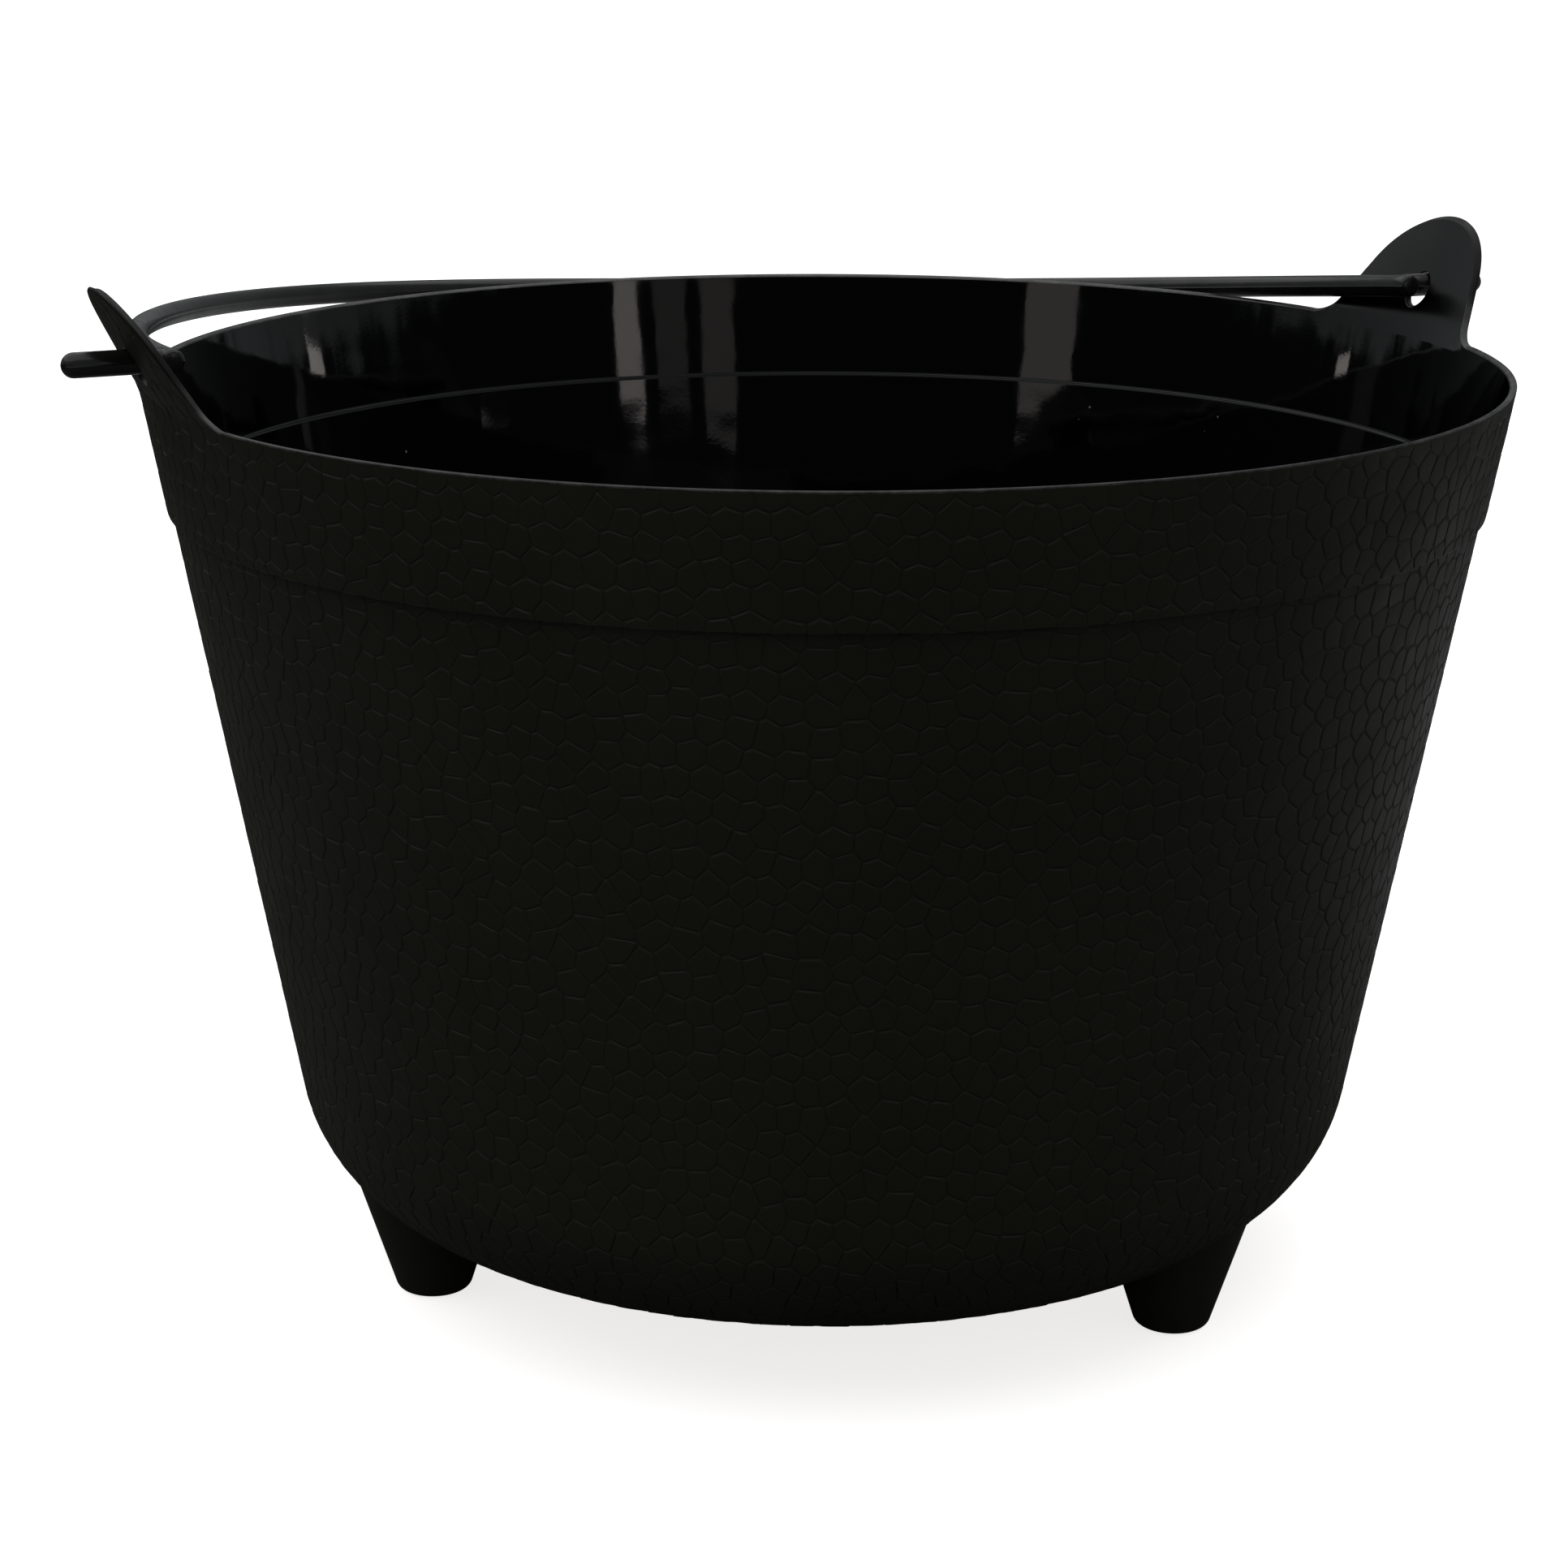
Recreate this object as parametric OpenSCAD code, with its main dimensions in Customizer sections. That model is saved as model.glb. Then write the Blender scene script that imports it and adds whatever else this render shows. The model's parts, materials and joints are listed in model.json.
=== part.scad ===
// Round moulded-plastic florist bucket: a tapered shell with two ears, a swinging bail
// handle and three tapered feet.
// X runs through the two ear holes, +Y is the side that the bail folds down to, +Z is up.
// The origin is on the bucket's axis, level with the surface that the feet stand on.

/* [Shell] */
// Outside diameter across the rim
rim_d = 360; // [300:5:400]
// Height of the rim above the surface that the bucket stands on
rim_h = 244; // [220:1:300]
// Height of the flat underside above that surface
base_h = 17.5; // [12:0.5:30]
// Slope of the wall, measured from vertical
wall_slope = 10.3; // [6:0.1:12]
// Thickness of the wall
wall_t = 1.9; // [1.5:0.1:3]
// Thickness of the floor
floor_t = 2.4; // [1.5:0.1:4]
// Outside radius of the bend between floor and wall
corner_r = 41; // [20:1:50]
// Height of the band below the rim
band_h = 33.5; // [20:0.5:50]
// How far the band stands proud of the wall below it
band_step = 1.2; // [0.6:0.1:1.6]
// How much higher the step shows inside than outside
ledge_lift = 3; // [0:0.5:5]
// Radius on the two edges of the rim
rim_round = 0.6; // [0.3:0.1:0.8]

/* [Ears] */
// Radius of the round top of an ear
ear_r = 28.5; // [22:0.5:32]
// Height of the centre of that round above the rim, along the ear
ear_rise = 5; // [2:0.5:10]
// Outward lean of the ears, measured from vertical
ear_lean = 27; // [12:1:32]
// Thickness of an ear near its top
ear_t = 2.4; // [1.8:0.1:4]
// Angle at which the sides of an ear spread towards the rim
ear_flare = 26; // [10:1:35]
// Radius of the fillets between ear and rim
ear_fillet = 11; // [6:0.5:16]
// Diameter of the hole in each ear
ear_hole_d = 9.2; // [8:0.1:11]

/* [Bail] */
// Height of the bail's pivot axis above the rim
pivot_rise = 11.5; // [9:0.5:14]
// Thickness of the bow's round rod
bow_d = 6.2; // [5:0.1:7]
// Thickness of the two pins
pin_d = 6.4; // [5.2:0.1:7.2]
// Distance between the middles of the two legs, across the ears
leg_span = 354; // [340:1:354]
// How far each leg runs past the pivot axis
leg_tail = 6; // [4:0.5:6]
// Distance between the tips of the two pins
pin_span = 407; // [395:1:420]
// Reach of the bow from the pivot axis
bow_reach = 225; // [205:1:250]
// How far the bow hangs below level when it is folded back
bow_droop = 5; // [2:0.1:5]
// Twist of the bow: how much more one leg droops, and the other less
bow_twist = 2.0; // [0:0.1:2]
// Gap between a pin and the top of its hole
pin_clearance = 0.15; // [0.1:0.05:0.3]

/* [Feet] */
// Distance of each foot from the bucket's axis
foot_pitch_r = 114.5; // [100:0.5:118]
// Radius of a foot at the floor, before its edge is rounded
foot_r = 9.6; // [8:0.1:13]
// Slope of the foot's side, measured from vertical
foot_slope = 17.8; // [5:0.1:20]
// Radius of a foot's bottom edge
foot_round = 3; // [1:0.5:4]

/* [Hidden] */

curve_fn = 96;          // segments on round shapes
corner_steps = 10;      // cone bands around the bend between floor and wall
round_steps = 4;        // cone bands on each small edge radius
bow_rings = 48;         // cross-sections along the bow
bow_sides = 16;         // sides of each cross-section
tail_round = 1.2;       // radius on the end of each leg
pin_root = 1;           // how far a pin starts inside the middle of its leg
ear_root = 4;           // the ears' stock reaches this far down inside the wall
ear_sink = 1;           // how far an ear's outline is sunk below the end of its fillets
foot_top_h = base_h + 25;  // foot blanks start this high; the shell's outside trims them

rim_r = rim_d / 2;
wall_tan = tan(wall_slope);
band_z = rim_h - band_h;                     // lower edge of the band
band_r = rim_r - band_h * wall_tan;          // band radius at that edge
wall_r = band_r - band_step;                 // wall radius just under the band
corner_z = base_h + corner_r;                // centre height of the bend
corner_top_z = corner_z - corner_r * sin(wall_slope);
corner_c = wall_r - (band_z - corner_top_z) * wall_tan - corner_r * cos(wall_slope);
inner_shift = wall_t / cos(wall_slope);      // wall thickness measured level
ledge_z = band_z + ledge_lift + band_step;   // top of the step inside
inner_corner_r = corner_r - wall_t;
pivot_z = rim_h + pivot_rise;
hole_z = pivot_z - (ear_hole_d - pin_d) / 2 + pin_clearance;
bow_half = leg_span / 2;

// Points of an arc about c, from angle a0 to angle a1.
function arc(c, r, a0, a1, steps) =
    [for (i = [0:steps]) let (a = a0 + (a1 - a0) * i / steps) c + r * [cos(a), sin(a)]];

// Outside of the shell, from the middle of the underside up to the rim.
function outer_profile() = concat(
    [[0, base_h]],
    arc([corner_c, corner_z], corner_r, -90, -wall_slope, corner_steps),
    [[wall_r, band_z], [band_r, band_z]],
    arc([rim_r - rim_round, rim_h - rim_round], rim_round, -wall_slope, 90, round_steps));

// Inside of the shell, from the rim down to the middle of the floor.
function inner_profile() = concat(
    arc([rim_r - inner_shift + rim_round, rim_h - rim_round], rim_round, 90, 180, round_steps),
    [[inner_r(ledge_z), ledge_z],
     [inner_r(ledge_z - band_step) - band_step, ledge_z - band_step]],
    arc([corner_c, base_h + floor_t + inner_corner_r], inner_corner_r,
        -wall_slope, -90, corner_steps),
    [[0, base_h + floor_t]]);

// Inside radius of the band at height z.
function inner_r(z) = rim_r - inner_shift - (rim_h - z) * wall_tan;

module shell_body() {
    rotate_extrude($fn = curve_fn) polygon(concat(outer_profile(), inner_profile()));
}

// Everything inside the shell's outer surface, used to trim the feet.
module shell_envelope() {
    rotate_extrude($fn = curve_fn) polygon(concat(outer_profile(), [[0, rim_h]]));
}

// How far the curved rim falls below the base line of an ear's flat outline, at x across it.
function rim_drop(x) = rim_r * sin(ear_lean) * (1 - cos(asin(x / rim_r)));

// Centre of the fillet between an ear's side and a base line that lies drop lower.
function fillet_centre(drop) =
    let (side = [cos(ear_flare), sin(ear_flare)],
         tangent = [0, ear_rise] + ear_r * side,
         slide = (tangent[1] + ear_fillet * (side[1] - 1) + drop) / cos(ear_flare))
    tangent + slide * [sin(ear_flare), -cos(ear_flare)] + ear_fillet * side;

// Flat outline of an ear: x across, y up the lean from the rim. Its fillets run out on the
// curved rim, and it reaches into the wall under them.
module ear_outline() {
    near = fillet_centre(rim_drop(ear_r + ear_fillet));
    drop = rim_drop(near[0]);
    right_c = fillet_centre(drop);
    left_c = [-right_c[0], right_c[1]];
    bottom = -drop - ear_sink;
    polygon(concat(
        [[right_c[0], bottom]],
        arc(right_c, ear_fillet, 270, 180 + ear_flare, 8),
        arc([0, ear_rise], ear_r, ear_flare, 180 - ear_flare, 24),
        arc(left_c, ear_fillet, -ear_flare, -90, 8),
        [[left_c[0], bottom]]));
}

// A ring that leans out above the rim; the ears are cut from it.
module ear_ring() {
    top_h = (ear_r + ear_rise) * cos(ear_lean) + 2;
    top_r = rim_r + top_h * tan(ear_lean);
    rotate_extrude($fn = curve_fn) polygon([
        [inner_r(rim_h - ear_root), rim_h - ear_root],
        [rim_r - ear_root * wall_tan, rim_h - ear_root],
        [rim_r, rim_h],
        [top_r, rim_h + top_h],
        [top_r - ear_t / cos(ear_lean), rim_h + top_h],
        [rim_r - inner_shift, rim_h]]);
}

module ears() {
    for (turn = [0, 180])
        rotate([0, 0, turn]) intersection() {
            ear_ring();
            translate([rim_r, 0, rim_h]) rotate([0, ear_lean, 0]) rotate([90, 0, 90])
                linear_extrude(height = 60, center = true) ear_outline();
        }
}

module shell() {
    color([0.07, 0.07, 0.06]) difference() {
        union() {
            shell_body();
            ears();
        }
        translate([0, 0, hole_z]) rotate([0, 90, 0])
            cylinder(d = ear_hole_d, h = 2 * rim_d, center = true, $fn = curve_fn);
    }
}

// Middle of the bow at angle t: a half ellipse that hangs a little below level and is
// twisted about its middle.
function bow_point(t) =
    let (x = -bow_half * cos(t), y = bow_reach * sin(t))
    [x, y, pivot_z - y * tan(bow_droop + bow_twist * x / bow_half)];

function unit(v) = v / norm(v);

// Cross-sections along the rod, from the end of one leg to the end of the other. Each is
// [angle on the bow, distance past the bow's end, radius].
function stations() =
    let (rod_r = bow_d / 2,
         leg_end = [for (a = [90:-30:0])
            [leg_tail - tail_round * (1 - sin(a)), rod_r - tail_round * (1 - cos(a))]],
         last = len(leg_end) - 1)
    concat([for (s = leg_end) [0, -s[0], s[1]]],
           [for (i = [0:bow_rings]) [180 * i / bow_rings, 0, rod_r]],
           [for (i = [last:-1:0]) [180, leg_end[i][0], leg_end[i][1]]]);

// One cross-section, square to the rod's run.
function rod_ring(station) =
    let (t = station[0],
         run = unit(bow_point(t + 0.5) - bow_point(t - 0.5)),
         c = bow_point(t) + station[1] * run,
         side = unit(cross(run, [0, 0, 1])),
         up = cross(side, run))
    [for (k = [0:bow_sides - 1]) let (a = 360 * (k + 0.5) / bow_sides)
        c + station[2] * (side * cos(a) + up * sin(a))];

module bow() {
    rings = [for (s = stations()) rod_ring(s)];
    count = len(rings);
    last = (count - 1) * bow_sides;
    walls = [for (i = [0:count - 2], k = [0:bow_sides - 1])
        let (a = i * bow_sides + k, b = i * bow_sides + (k + 1) % bow_sides)
        each [[a, b, b + bow_sides], [a, b + bow_sides, a + bow_sides]]];
    ends = [[for (k = [bow_sides - 1:-1:0]) k], [for (k = [0:bow_sides - 1]) last + k]];
    polyhedron([for (ring = rings) each ring], concat(walls, ends));
}

// A pin through an ear, with a domed end outside the ear and its root inside the leg.
module pin() {
    inner = bow_half - pin_root;
    outer = (pin_span - pin_d) / 2;
    rotate([0, 90, 0]) rotate_extrude($fn = 48) polygon(concat(
        [[0, inner], [pin_d / 4, inner], [pin_d / 2, inner + 2 * pin_root]],
        arc([0, outer], pin_d / 2, 0, 80, 8),
        [[0, outer + pin_d / 2]]));
}

module bail() {
    color([0.10, 0.10, 0.09]) union() {
        bow();
        for (turn = [0, 180]) translate([0, 0, pivot_z]) rotate([0, 0, turn]) pin();
    }
}

// A tapered foot, trimmed to the shell's outside.
module foot(azimuth) {
    grow = tan(foot_slope);
    round_c = foot_r + foot_round * grow - foot_round / cos(foot_slope);
    color([0.09, 0.09, 0.08]) difference() {
        rotate([0, 0, azimuth]) translate([foot_pitch_r, 0, 0])
            rotate_extrude($fn = 64) polygon(concat(
                [[0, 0]],
                arc([round_c, foot_round], foot_round, -90, -foot_slope, round_steps),
                [[foot_r + foot_top_h * grow, foot_top_h], [0, foot_top_h]]));
        shell_envelope();
    }
}

module foot_left() foot(180);
module foot_front() foot(-60);
module foot_back() foot(60);

shell();
bail();
foot_left();
foot_front();
foot_back();
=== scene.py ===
"""Looks of the florist bucket: its cellular skin, glossy inside, bail, feet and studio.

Lengths are in metres, in the CAD model's frame: X through the ear holes, +Y towards the
side that the bail is folded to, +Z up, origin on the axis at floor level.
"""
import json
import math

import bmesh
import bpy
import numpy as np
from mathutils import Matrix, Vector, geometry, kdtree


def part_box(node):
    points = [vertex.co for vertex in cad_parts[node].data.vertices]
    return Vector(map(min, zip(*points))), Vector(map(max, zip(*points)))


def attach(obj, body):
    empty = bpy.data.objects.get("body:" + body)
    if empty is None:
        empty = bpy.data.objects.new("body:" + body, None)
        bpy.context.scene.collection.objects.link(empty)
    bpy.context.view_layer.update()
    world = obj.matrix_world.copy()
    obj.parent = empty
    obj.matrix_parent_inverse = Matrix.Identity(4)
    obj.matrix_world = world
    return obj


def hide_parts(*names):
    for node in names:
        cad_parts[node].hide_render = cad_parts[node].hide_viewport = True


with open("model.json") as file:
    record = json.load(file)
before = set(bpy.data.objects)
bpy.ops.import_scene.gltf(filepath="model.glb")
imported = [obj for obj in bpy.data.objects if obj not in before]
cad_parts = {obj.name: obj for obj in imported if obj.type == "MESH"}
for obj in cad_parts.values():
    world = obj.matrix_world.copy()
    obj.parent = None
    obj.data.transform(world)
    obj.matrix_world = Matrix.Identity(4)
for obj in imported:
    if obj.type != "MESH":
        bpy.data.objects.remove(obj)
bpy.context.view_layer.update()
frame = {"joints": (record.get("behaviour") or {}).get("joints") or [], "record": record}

MM = 0.001

# ---------------------------------------------------------------- sizes from the frame
SHELL_LOW, SHELL_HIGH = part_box("shell")
_, BAIL_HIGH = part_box("bail")
PIVOT_Z = frame["joints"][0]["pos_m"][2]
MOUNTS = {mount["name"]: mount for mount in frame["record"]["mounts"]}

PIVOT_RISE = 11.5 * MM         # of the pivot axis above the rim
RIM_R = SHELL_HIGH.y
RIM_Z = PIVOT_Z - PIVOT_RISE
BASE_Z = SHELL_LOW.z
FOOT_PITCH_R = -MOUNTS["foot_pad"]["pos_m"][0]

# Shell cross-section, as in the CAD model
WALL_SLOPE = math.radians(10.3)
WALL_T = 1.9 * MM
FLOOR_T = 2.4 * MM
CORNER_R = 41 * MM
BAND_H = 33.5 * MM
BAND_STEP = 1.2 * MM
STEP_ROUND = 0.3 * MM          # bevel on the band's lower edge
LEDGE_LIFT = 3 * MM
LEDGE_ROUND = 0.3 * MM         # round on the two edges of the shelf inside
EDGE_ROUND = 0.6 * MM

# Ears
EAR_R = 28.5 * MM
EAR_RISE = 5 * MM
EAR_LEAN = math.radians(27)
EAR_T = 2.4 * MM
EAR_FLARE = math.radians(26)
EAR_FILLET = 11 * MM
EAR_REACH = 45 * MM            # how far the ear's surface is drawn before it is cut out
HOLE_R = 4.6 * MM
HOLE_ROUND = 0.4 * MM
PIN_R = 3.2 * MM
PIN_CLEARANCE = 0.15 * MM      # between a pin and the top of its hole
HOLE_Z = PIVOT_Z - (HOLE_R - PIN_R) + PIN_CLEARANCE

# The underside's moulding gate, from its foot to its flat top
GATE_RADII = (3.4 * MM, 2.9 * MM)
GATE_H = 0.7 * MM

# Cellular relief
CELL_W = 7.1 * MM
CELL_H = 6.6 * MM
SEED_JITTER = (0.37, 0.38)     # largest shift of a cell, in cell widths and heights
ROWS_ALIKE = 7                 # rows of cells that run together before one is dropped
GROOVE_SHARE = 0.12            # groove half-width as a share of the way to a cell's middle
CORNER_CUT = 0.24              # share of each side that a cell's blunt corner takes
GROOVE_SLOPE_W = 0.45 * MM     # width of each side of a groove
GROOVE_DEPTH = 0.25 * MM
CELL_CROWN = 0.04 * MM
CELL_LEAN = -0.010             # slope of the cells' tops: each stands proud at its upper edge
CELL_TILT = 0.010              # largest random slope on top of that
RELIEF_FADE = 0.9 * MM         # the relief dies out over this distance from an edge

# Bail
BOW_R = 3.1 * MM
BOW_HALF = 177 * MM
BOW_REACH = BAIL_HIGH.y - BOW_R
BOW_DROOP = math.radians(5)
BOW_TWIST = math.radians(2)
LEG_TAIL = 6 * MM              # how far a leg runs past the pivot axis
TAIL_ROUND = 1.2 * MM
PIN_ROOT = 1 * MM              # how far a pin starts inside the middle of its leg
FLASH = 0.14 * MM              # how far the parting line stands proud

# Feet
FOOT_R = 9.6 * MM
FOOT_SLOPE = math.radians(17.8)
FOOT_ROUND = 3 * MM
FOOT_SINK = 0.5 * MM           # how far the foot's top reaches into the shell's wall
FOOT_AZIMUTHS = {"foot_left": 180, "foot_front": -60, "foot_back": 60}

GIRTH = 2 * math.pi * RIM_R    # length of the rim, and of the unrolled skin
COLUMNS = 240                  # columns of faces round the inside and the floor
random = np.random.default_rng(7)

OUTER_SLOT, INNER_SLOT, EDGE_SLOT = 0, 1, 2     # places of the shell's three materials
SHELL_CREASES = np.radians([10, 35, 50])        # sharpest smooth angle on each of them
ROD_CREASE = math.radians(40)
FOOT_CREASE = math.radians(30)


# ---------------------------------------------------------------- cross-sections
class Section:
    """A cross-section of the shell, followed downwards. t is the distance below the rim."""

    def __init__(self, points):
        self.r, self.z = np.array(points).T
        steps = np.hypot(np.diff(self.r), np.diff(self.z))
        self.t = np.concatenate([[-EAR_REACH, 0], np.cumsum(steps[1:])])

    def at(self, t):
        """Radius and height."""
        return np.interp(t, self.t, self.r), np.interp(t, self.t, self.z)


def arc(r, z, radius, start, end, steps):
    """Points of an arc about (r, z) from angle start to end, in radians."""
    angles = np.linspace(start, end, steps + 1)
    return [(r + radius * math.cos(a), z + radius * math.sin(a)) for a in angles]


SLOPE = math.tan(WALL_SLOPE)
BAND_Z = RIM_Z - BAND_H
BAND_R = RIM_R - BAND_H * SLOPE
CORNER_Z = BASE_Z + CORNER_R
CORNER_TOP_Z = CORNER_Z - CORNER_R * math.sin(WALL_SLOPE)
CORNER_C = (BAND_R - BAND_STEP - (BAND_Z - CORNER_TOP_Z) * SLOPE
            - CORNER_R * math.cos(WALL_SLOPE))
WALL_SHIFT = WALL_T / math.cos(WALL_SLOPE)
LEDGE_Z = BAND_Z + LEDGE_LIFT + BAND_STEP
ARC_STEPS = 24


def outside_points():
    """From the drawn top of an ear down the band, its step, the wall and the bend."""
    top = (RIM_R + EAR_REACH * math.sin(EAR_LEAN), RIM_Z + EAR_REACH * math.cos(EAR_LEAN))
    return ([top, (RIM_R, RIM_Z), (BAND_R + STEP_ROUND * SLOPE, BAND_Z + STEP_ROUND),
             (BAND_R - STEP_ROUND, BAND_Z), (BAND_R - BAND_STEP, BAND_Z)]
            + arc(CORNER_C, CORNER_Z, CORNER_R, -WALL_SLOPE, -math.pi / 2, ARC_STEPS))


def inside_points():
    """Like the outside, a wall's thickness in, with a narrow shelf behind the step."""
    top = (RIM_R + EAR_REACH * math.sin(EAR_LEAN) - EAR_T / math.cos(EAR_LEAN),
           RIM_Z + EAR_REACH * math.cos(EAR_LEAN))

    def wall(z, step=0.0):
        return (RIM_R - WALL_SHIFT - (RIM_Z - z) * SLOPE - step, z)

    shelf = LEDGE_Z - BAND_STEP / 2
    soft = LEDGE_ROUND
    ledge = [wall(shelf + soft), wall(shelf + 0.3 * soft, 0.3 * soft), wall(shelf, soft),
             wall(shelf - 0.1 * soft, BAND_STEP - soft),
             wall(shelf - 0.4 * soft, BAND_STEP - 0.3 * soft),
             wall(shelf - 1.1 * soft, BAND_STEP)]
    inner_r = CORNER_R - WALL_T
    return ([top, (RIM_R - WALL_SHIFT, RIM_Z)] + ledge
            + arc(CORNER_C, BASE_Z + FLOOR_T + inner_r, inner_r,
                  -WALL_SLOPE, -math.pi / 2, ARC_STEPS))


OUTSIDE = Section(outside_points())
INSIDE = Section(inside_points())
T_STEP = OUTSIDE.t[2:5]        # edges of the band's step, from the top
T_LEDGE = INSIDE.t[2:8]        # edges of the shelf inside, from the top
T_BEND = INSIDE.t[8:-1:2]      # every other step of the bend inside
T_CORNER = OUTSIDE.t[5]
T_BASE = OUTSIDE.t[-1]


def place(section, s, t, lift=0.0):
    """Points of the shell, where s runs round the rim from the front and t down from it."""
    r, z = section.at(t)
    lean = np.interp(t, [-2 * MM, 2 * MM, T_CORNER, T_BASE],
                     [EAR_LEAN, WALL_SLOPE, WALL_SLOPE, math.pi / 2])
    r = r + lift * np.cos(lean)
    azimuth = s / RIM_R - math.pi / 2
    return np.stack([r * np.cos(azimuth), r * np.sin(azimuth), z - lift * np.sin(lean)], -1)


# ---------------------------------------------------------------- the shell's edges
def rim_drop(x):
    """How far the curved rim falls below the base line of an ear's flat outline."""
    return RIM_R * math.sin(EAR_LEAN) * (1 - np.sqrt(1 - (x / RIM_R) ** 2))


def ear_outline(inset, step):
    """(x across, y up the lean) along an ear's edge from the left rim to the right."""
    side = np.array([math.cos(EAR_FLARE), math.sin(EAR_FLARE)])
    tangent = np.array([0, EAR_RISE]) + EAR_R * side
    down = np.array([math.sin(EAR_FLARE), -math.cos(EAR_FLARE)])
    centre = np.array([EAR_R + EAR_FILLET, 0])
    for _ in range(4):
        base = EAR_FILLET - rim_drop(centre[0])
        slide = (tangent[1] + EAR_FILLET * side[1] - base) / math.cos(EAR_FLARE)
        centre = tangent + slide * down + EAR_FILLET * side

    fillet_r = EAR_FILLET + inset
    fillet_steps = math.ceil(fillet_r * (math.pi / 2 - EAR_FLARE) / step)
    round_steps = math.ceil(EAR_R * (math.pi / 2 - EAR_FLARE) / step)
    line_steps = math.ceil(slide / step)
    fillet = arc(centre[0], centre[1], fillet_r, 1.5 * math.pi, math.pi + EAR_FLARE, fillet_steps)
    crown = arc(0, EAR_RISE, EAR_R - inset, EAR_FLARE, math.pi / 2, round_steps)
    low, high = np.array(fillet[-1]), np.array(crown[0])
    line = [tuple(low + (high - low) * k / line_steps) for k in range(1, line_steps)]
    right = fillet + line + crown
    left = [(-x, y) for x, y in right]
    return np.array(left + right[-2::-1])


def ear_height(x, y):
    """Height of the leaning ear's surface at a point (x, y) of its flat outline."""
    sin, cos = math.sin(EAR_LEAN), math.cos(EAR_LEAN)
    rise = y
    for _ in range(6):
        turn = np.sqrt(1 - (x / (RIM_R + rise * sin)) ** 2)
        rise = (y + RIM_R * sin * (1 - turn)) / (sin * sin * turn + cos * cos)
    return RIM_Z + rise * cos


def to_skin(section, x, z):
    """(s, t) from the middle of an ear for points at x across it and at height z."""
    t = -(z - RIM_Z) / math.cos(EAR_LEAN)
    r, _ = section.at(t)
    return np.stack([RIM_R * np.arcsin(x / r), t], -1)


def rim_loop():
    """(s, t) along the whole upper edge, ears included, from the back seam round."""
    outline = ear_outline(EDGE_ROUND, 1.2 * MM)
    ear = to_skin(OUTSIDE, outline[:, 0], ear_height(*outline.T))
    ear[[0, -1], 1] = EDGE_ROUND
    half = ear[-1, 0]
    spans = [(-GIRTH / 2, -GIRTH / 4 - half), (-GIRTH / 4 + half, GIRTH / 4 - half),
             (GIRTH / 4 + half, GIRTH / 2)]
    pieces = []
    for k, (a, b) in enumerate(spans):
        count = math.ceil((b - a) / (3.2 * MM))
        s = np.linspace(a, b, count + 1)
        pieces.append(np.stack([s, np.full_like(s, EDGE_ROUND)], -1))
        if k < 2:
            middle = -GIRTH / 4 + k * GIRTH / 2
            pieces.append(ear[1:-1] + [middle, 0])
    return np.concatenate(pieces)


def hole_loop(section, middle, radius, sides=44):
    """(s, t) round the hole of the ear whose middle is given."""
    angles = np.arange(sides) * 2 * math.pi / sides
    points = to_skin(section, radius * np.cos(angles), HOLE_Z + radius * np.sin(angles))
    return points + [middle, 0]


RIM_LOOP = rim_loop()
EAR_MIDDLES = (-GIRTH / 4, GIRTH / 4)


def edge_distance(s, t):
    """Roughly how far a point is from the upper edge; negative above it."""
    ahead = 0.3 * MM
    top = np.interp(s, RIM_LOOP[:, 0], RIM_LOOP[:, 1])
    top_ahead = np.interp(s + ahead, RIM_LOOP[:, 0], RIM_LOOP[:, 1])
    slope = (top_ahead - top) / ahead
    return (t - top) / np.sqrt(1 + slope * slope)


def hole_distance(s, t):
    """How far a point is from the rim of the nearer ear hole; negative inside it."""
    r, z = OUTSIDE.at(t)
    across = r * np.sin((np.abs(s) - GIRTH / 4) / RIM_R)
    gap = np.hypot(across, z - HOLE_Z) - HOLE_R
    return np.where(t < 0, gap, 1.0)


# ---------------------------------------------------------------- meshes from flat regions
def triangulate(points, edges):
    """Constrained Delaunay triangles over flat points in metres."""
    flat = [Vector(p) for p in np.asarray(points) / MM]
    verts, _, faces, *_ = geometry.delaunay_2d_cdt(flat, edges, [], 0, 1e-4, False)
    return np.array(verts) * MM, np.array(faces)


def closed(first, count):
    """Edges of a ring of numbered points."""
    return [(first + k, first + (k + 1) % count) for k in range(count)]


def chain(first, count):
    """Edges of an open line of numbered points."""
    return [(first + k, first + k + 1) for k in range(count - 1)]


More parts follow.
